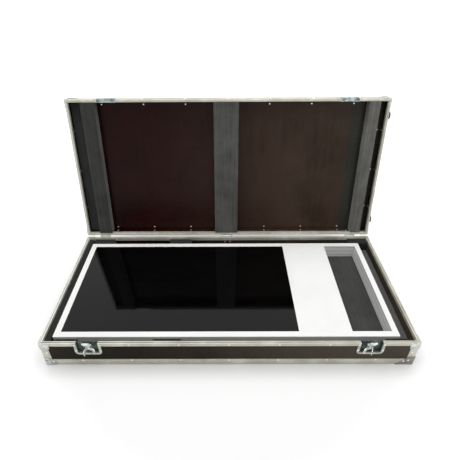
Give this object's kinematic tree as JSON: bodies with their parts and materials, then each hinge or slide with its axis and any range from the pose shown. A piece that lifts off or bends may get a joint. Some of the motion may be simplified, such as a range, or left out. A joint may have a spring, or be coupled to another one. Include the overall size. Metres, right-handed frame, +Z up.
{
  "type": "display stand flight case",
  "caption": "Shallow hinged flight case with an open lid, recessed butterfly latches, foam strips and corner wheels, holding a flat white display stand with a black screen",
  "frame": {"origin": "on the ground under the middle of the base's edge profiles", "axes": "+X along the case toward the end with the wheels and feet, -Y the front with the latches, +Z up"},
  "size_m": [1.5153, 0.9037, 0.8284],
  "materials": {
    "panel_laminate": "dark brown phenolic laminate on plywood, semi-gloss",
    "aluminium_profile": "satin extruded aluminium edging",
    "zinc_hardware": "zinc-plated pressed steel, satin",
    "rivets": "domed rivet heads",
    "foam": "dark grey closed-cell foam, matt",
    "rubber": "black rubber",
    "white_shell": "white powder coat, satin",
    "screen_glass": "black glass, gloss",
    "electronics": "black plastic and sheet, matt"
  },
  "bodies": {
    "base": {"base_back_panel": "panel_laminate", "base_ball_corners": "zinc_hardware", "base_corner_angles": "aluminium_profile", "base_edge_long": "aluminium_profile", "base_edge_short": "aluminium_profile", "base_end_feet": "rubber", "base_floor_panel": "panel_laminate", "base_front_panel": "panel_laminate", "base_left_panel": "panel_laminate", "base_right_panel": "panel_laminate", "base_rim_braces": "zinc_hardware", "base_rim_long": "aluminium_profile", "base_rim_short": "aluminium_profile", "base_rivets": "rivets", "foam_blocks": "foam", "foam_floor": "foam", "foam_left_strip": "foam", "foam_right_strip": "foam", "hinge_leaves_base": "zinc_hardware", "hinge_pins": "zinc_hardware", "hook_pins": "zinc_hardware", "latch_dishes": "zinc_hardware", "wheel_axles": "zinc_hardware", "wheel_brackets": "zinc_hardware"},
    "display_stand": {"display_back": "white_shell", "display_control_box": "electronics", "display_frame": "white_shell", "display_glass": "screen_glass", "display_lcd": "electronics", "display_lower_panel": "white_shell"},
    "lid": {"hinge_leaves_lid": "zinc_hardware", "keeper_dishes": "zinc_hardware", "lid_back_panel": "panel_laminate", "lid_ball_corners": "zinc_hardware", "lid_edge_long": "aluminium_profile", "lid_edge_short": "aluminium_profile", "lid_end_feet": "rubber", "lid_foam_centre": "foam", "lid_foam_left_block": "foam", "lid_foam_left_mat": "foam", "lid_foam_right": "foam", "lid_front_panel": "panel_laminate", "lid_left_panel": "panel_laminate", "lid_right_panel": "panel_laminate", "lid_rim_braces": "zinc_hardware", "lid_rim_long": "aluminium_profile", "lid_rim_short": "aluminium_profile", "lid_rivets": "rivets", "lid_top_panel": "panel_laminate"},
    "latch_left_hook": {"latch_left_hook": "zinc_hardware"},
    "latch_left_hub": {"latch_left_hub": "zinc_hardware"},
    "latch_left_wing_left": {"latch_left_wing_left": "zinc_hardware"},
    "latch_left_wing_right": {"latch_left_wing_right": "zinc_hardware"},
    "latch_right_hook": {"latch_right_hook": "zinc_hardware"},
    "latch_right_hub": {"latch_right_hub": "zinc_hardware"},
    "latch_right_wing_left": {"latch_right_wing_left": "zinc_hardware"},
    "latch_right_wing_right": {"latch_right_wing_right": "zinc_hardware"},
    "wheel_back": {"wheel_back": "rubber"},
    "wheel_front": {"wheel_front": "rubber"}
  },
  "joints": [
    {"name": "lid_hinge", "type": "hinge", "parent": "base", "child": "lid", "pos_m": [0, 0.354, 0.1343], "axis": [-1, 0, 0], "range_deg": [-99.6, 0]},
    {"name": "display_lift_out", "type": "slide", "parent": "base", "child": "display_stand", "axis": [0, 0, 1], "range_m": [0, 0.3]},
    {"name": "latch_left_turn", "type": "hinge", "parent": "base", "child": "latch_left_hub", "pos_m": [-0.56, -0.337, 0.1], "axis": [0, -1, 0], "range_deg": [-180, 0]},
    {"name": "latch_left_hook_swing", "type": "hinge", "parent": "base", "child": "latch_left_hook", "pos_m": [-0.56, -0.344, 0.12], "axis": [1, 0, 0], "range_deg": [-35, 0]},
    {"name": "latch_left_wing_left_fold", "type": "hinge", "parent": "latch_left_hub", "child": "latch_left_wing_left", "pos_m": [-0.568, -0.345, 0.1], "axis": [0, 0, 1], "range_deg": [-90, 25]},
    {"name": "latch_left_wing_right_fold", "type": "hinge", "parent": "latch_left_hub", "child": "latch_left_wing_right", "pos_m": [-0.552, -0.345, 0.1], "axis": [0, 0, -1], "range_deg": [-35, 55]},
    {"name": "latch_right_turn", "type": "hinge", "parent": "base", "child": "latch_right_hub", "pos_m": [0.56, -0.337, 0.1], "axis": [0, 1, 0], "range_deg": [-180, 0]},
    {"name": "latch_right_hook_swing", "type": "hinge", "parent": "base", "child": "latch_right_hook", "pos_m": [0.56, -0.344, 0.12], "axis": [1, 0, 0], "range_deg": [-35, 0]},
    {"name": "latch_right_wing_left_fold", "type": "hinge", "parent": "latch_right_hub", "child": "latch_right_wing_left", "pos_m": [0.552, -0.345, 0.1], "axis": [0, 0, 1], "range_deg": [-35, 55]},
    {"name": "latch_right_wing_right_fold", "type": "hinge", "parent": "latch_right_hub", "child": "latch_right_wing_right", "pos_m": [0.568, -0.345, 0.1], "axis": [0, 0, -1], "range_deg": [-115, 0]},
    {"name": "wheel_front_spin", "type": "hinge", "parent": "base", "child": "wheel_front", "pos_m": [0.737, -0.318, 0.021], "axis": [0, 1, 0], "continuous": true},
    {"name": "wheel_back_spin", "type": "hinge", "parent": "base", "child": "wheel_back", "pos_m": [0.737, 0.318, 0.021], "axis": [0, 1, 0], "continuous": true}
  ],
  "couplings": [
    {"joint": "latch_left_hook_swing", "follows": "latch_left_turn", "ratio": 0.19444},
    {"joint": "latch_right_hook_swing", "follows": "latch_right_turn", "ratio": 0.19444}
  ]
}
